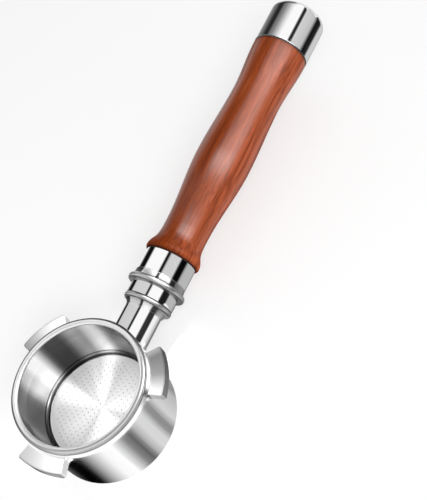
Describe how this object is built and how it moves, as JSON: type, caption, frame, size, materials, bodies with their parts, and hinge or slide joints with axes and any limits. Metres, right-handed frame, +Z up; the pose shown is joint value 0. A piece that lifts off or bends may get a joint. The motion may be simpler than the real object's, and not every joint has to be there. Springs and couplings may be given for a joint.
{
  "type": "portafilter",
  "caption": "Bottomless portafilter: steel ring with bayonet lugs and a lift-out filter basket, on a stepped metal neck with a turned wooden grip and metal end cap.",
  "frame": {"origin": "on the holder ring's axis, in the plane of its lower rim", "axes": "+Z up along the ring's axis, out of the basket's mouth; +X from the ring towards the handle, whose axis tilts up 3.3 degrees"},
  "size_m": [0.2472, 0.0721, 0.044],
  "materials": {
    "ring_steel": "polished stainless steel",
    "basket_steel": "polished stainless steel sheet",
    "spring_steel": "drawn spring wire",
    "handle_chrome": "bright chrome plate",
    "bead_steel": "satin",
    "rosewood": "oiled, satin",
    "seal_rubber": "matt",
    "zinc_steel": "zinc plated",
    "bush_brass": "turned",
    "nylon": "moulded"
  },
  "bodies": {
    "holder": {"holder_ring": "ring_steel", "retaining_spring": "spring_steel", "neck": "handle_chrome", "lower_bead": "bead_steel", "spacer_sleeve": "handle_chrome", "upper_bead": "bead_steel", "ferrule": "handle_chrome", "ferrule_seal": "seal_rubber", "grip": "rosewood", "tie_rod": "zinc_steel", "front_lock_washer": "zinc_steel", "front_jam_nut": "zinc_steel", "rear_washer": "zinc_steel", "rear_lock_nut": "zinc_steel", "lock_nut_ring": "nylon", "cap_bush": "bush_brass", "cap_seal": "seal_rubber", "end_cap": "handle_chrome"},
    "basket": {"filter_basket": "basket_steel"}
  },
  "joints": [
    {"name": "basket_lift", "type": "slide", "parent": "holder", "child": "basket", "axis": [0, 0, 1], "range_m": [0, 0.045]}
  ]
}
